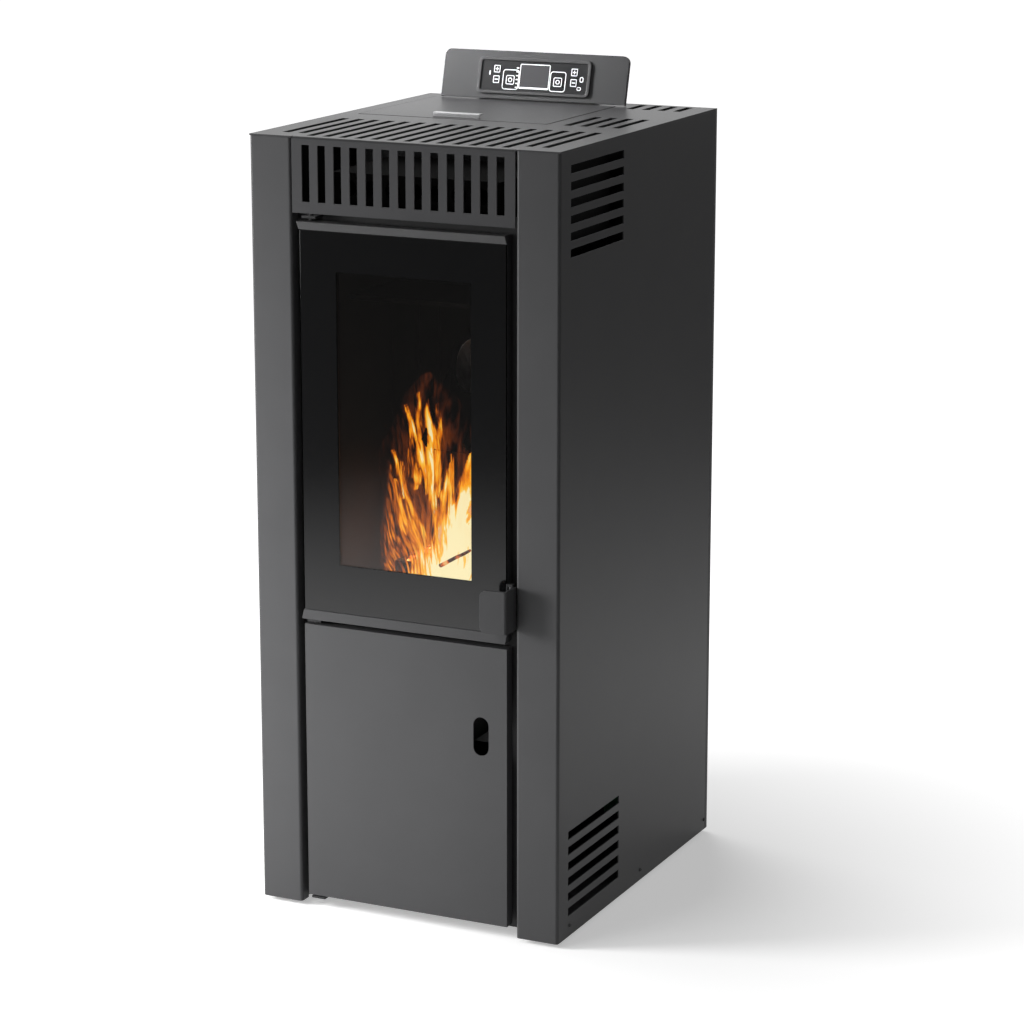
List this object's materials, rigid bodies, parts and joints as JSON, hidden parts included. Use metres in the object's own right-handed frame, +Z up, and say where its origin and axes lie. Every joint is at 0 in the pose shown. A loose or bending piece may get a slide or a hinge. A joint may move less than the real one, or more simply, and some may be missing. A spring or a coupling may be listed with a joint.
{
  "type": "pellet stove",
  "caption": "Tall narrow pellet stove with a glass fire door, a service door, a hopper lid in the slotted top and a leaning control console.",
  "frame": {"origin": "centre of the overall footprint, at floor level under the feet", "axes": "+Z up; the front, with the doors, faces -Y; +X is to the right as seen from the front"},
  "size_m": [0.42, 0.549, 1.0602],
  "materials": {
    "case_paint": "fine satin anthracite powder coat",
    "dark_paint": "matt black heat paint",
    "printed_glass": "polished ceramic glass with a black printed border",
    "foot_rubber": "matt moulded",
    "seal_rubber": "matt soft seal",
    "gasket_rope": "braided glass-fibre rope",
    "zinc_steel": "zinc-coated sheet steel",
    "cast_iron": "rough, heat-darkened",
    "fire_brick": "pressed vermiculite board, sooty",
    "ceramic": "unglazed ceramic",
    "console_plastic": "fine moulded black",
    "button_plastic": "satin keypad with pale line marks",
    "display_pane": "smoked glossy pane",
    "circuit_board": "solder-masked board"
  },
  "bodies": {
    "case": {"base_plate": "dark_paint", "foot_front_left": "foot_rubber", "foot_front_right": "foot_rubber", "foot_rear_left": "foot_rubber", "foot_rear_right": "foot_rubber", "side_panel_left": "case_paint", "side_panel_right": "case_paint", "rear_panel": "dark_paint", "top_cover": "case_paint", "front_frame": "dark_paint", "hinge_bracket_top": "dark_paint", "hinge_bracket_middle": "dark_paint", "hinge_bracket_bottom": "dark_paint", "magnet_catch": "zinc_steel", "firebox": "cast_iron", "fire_back_plate": "fire_brick", "baffle_plate": "cast_iron", "igniter": "ceramic", "pellet_chute": "cast_iron", "hopper": "zinc_steel", "hopper_seal": "seal_rubber", "lid_hinge_pin": "zinc_steel", "auger_tube": "zinc_steel", "auger_gearmotor": "dark_paint", "heat_exchanger": "cast_iron", "smoke_duct": "zinc_steel", "smoke_fan_housing": "zinc_steel", "smoke_fan_motor": "dark_paint", "flue_pipe": "dark_paint", "air_intake_pipe": "zinc_steel", "ash_drawer_sleeve": "zinc_steel", "room_fan_housing": "zinc_steel", "room_fan_motor": "dark_paint", "console_plate": "case_paint", "display_bezel": "console_plastic", "display_window": "display_pane", "keypad_board": "circuit_board", "display_housing": "console_plastic", "control_board": "circuit_board", "power_inlet": "console_plastic"},
    "glass_door": {"door_frame": "dark_paint", "door_glass": "printed_glass", "door_strip_top": "case_paint", "door_strip_bottom": "case_paint", "door_gasket": "gasket_rope"},
    "handle": {"door_handle": "case_paint"},
    "service_door": {"lower_door": "case_paint"},
    "lid": {"hopper_lid": "case_paint"},
    "drawer": {"ash_drawer": "zinc_steel"},
    "pot": {"burn_pot": "cast_iron"},
    "auger": {"auger_screw": "zinc_steel"},
    "smoke_fan": {"smoke_fan_impeller": "zinc_steel"},
    "room_fan": {"room_fan_rotor": "zinc_steel"},
    "power_up": {"power_up_button": "button_plastic"},
    "power_down": {"power_down_button": "button_plastic"},
    "menu": {"menu_button": "button_plastic"},
    "on_off": {"on_off_button": "button_plastic"},
    "heat_up": {"heat_up_button": "button_plastic"},
    "heat_down": {"heat_down_button": "button_plastic"},
    "switch": {"power_switch": "button_plastic"}
  },
  "joints": [
    {"name": "glass_door_hinge", "type": "hinge", "parent": "case", "child": "glass_door", "pos_m": [-0.1305, -0.2345, 0.64], "axis": [0, 0, -1], "range_deg": [0, 95]},
    {"name": "handle_turn", "type": "hinge", "parent": "glass_door", "child": "handle", "pos_m": [0.1445, -0.2415, 0.433], "axis": [0, 0, 1], "range_deg": [0, 12]},
    {"name": "service_door_hinge", "type": "hinge", "parent": "case", "child": "service_door", "pos_m": [-0.1305, -0.2345, 0.2], "axis": [0, 0, -1], "range_deg": [0, 100]},
    {"name": "lid_hinge", "type": "hinge", "parent": "case", "child": "lid", "pos_m": [-0.0515, 0.2025, 0.989], "axis": [-1, 0, 0], "range_deg": [0, 80]},
    {"name": "ash_drawer_slide", "type": "slide", "parent": "case", "child": "drawer", "axis": [0, -1, 0], "range_m": [0, 0.05]},
    {"name": "burn_pot_lift", "type": "slide", "parent": "case", "child": "pot", "axis": [0, 0, 1], "range_m": [0, 0.05]},
    {"name": "auger_turn", "type": "hinge", "parent": "case", "child": "auger", "pos_m": [0, 0.1595, 0.438], "axis": [0, -0.6428, 0.766], "continuous": true},
    {"name": "smoke_fan_turn", "type": "hinge", "parent": "case", "child": "smoke_fan", "pos_m": [-0.077, 0.03, 0.131], "axis": [0, 1, 0], "continuous": true},
    {"name": "room_fan_turn", "type": "hinge", "parent": "case", "child": "room_fan", "pos_m": [0.005, -0.1145, 0.101], "axis": [1, 0, 0], "continuous": true},
    {"name": "power_up_press", "type": "slide", "parent": "case", "child": "power_up", "axis": [0, 0.9659, -0.2588], "range_m": [0, 0.0008], "stiffness_N_per_m": 400},
    {"name": "power_down_press", "type": "slide", "parent": "case", "child": "power_down", "axis": [0, 0.9659, -0.2588], "range_m": [0, 0.0008], "stiffness_N_per_m": 400},
    {"name": "menu_press", "type": "slide", "parent": "case", "child": "menu", "axis": [0, 0.9659, -0.2588], "range_m": [0, 0.0008], "stiffness_N_per_m": 400},
    {"name": "on_off_press", "type": "slide", "parent": "case", "child": "on_off", "axis": [0, 0.9659, -0.2588], "range_m": [0, 0.0008], "stiffness_N_per_m": 400},
    {"name": "heat_up_press", "type": "slide", "parent": "case", "child": "heat_up", "axis": [0, 0.9659, -0.2588], "range_m": [0, 0.0008], "stiffness_N_per_m": 400},
    {"name": "heat_down_press", "type": "slide", "parent": "case", "child": "heat_down", "axis": [0, 0.9659, -0.2588], "range_m": [0, 0.0008], "stiffness_N_per_m": 400},
    {"name": "power_switch_rock", "type": "hinge", "parent": "case", "child": "switch", "pos_m": [0.15, 0.2443, 0.085], "axis": [1, 0, 0], "range_deg": [-7, 7]}
  ]
}
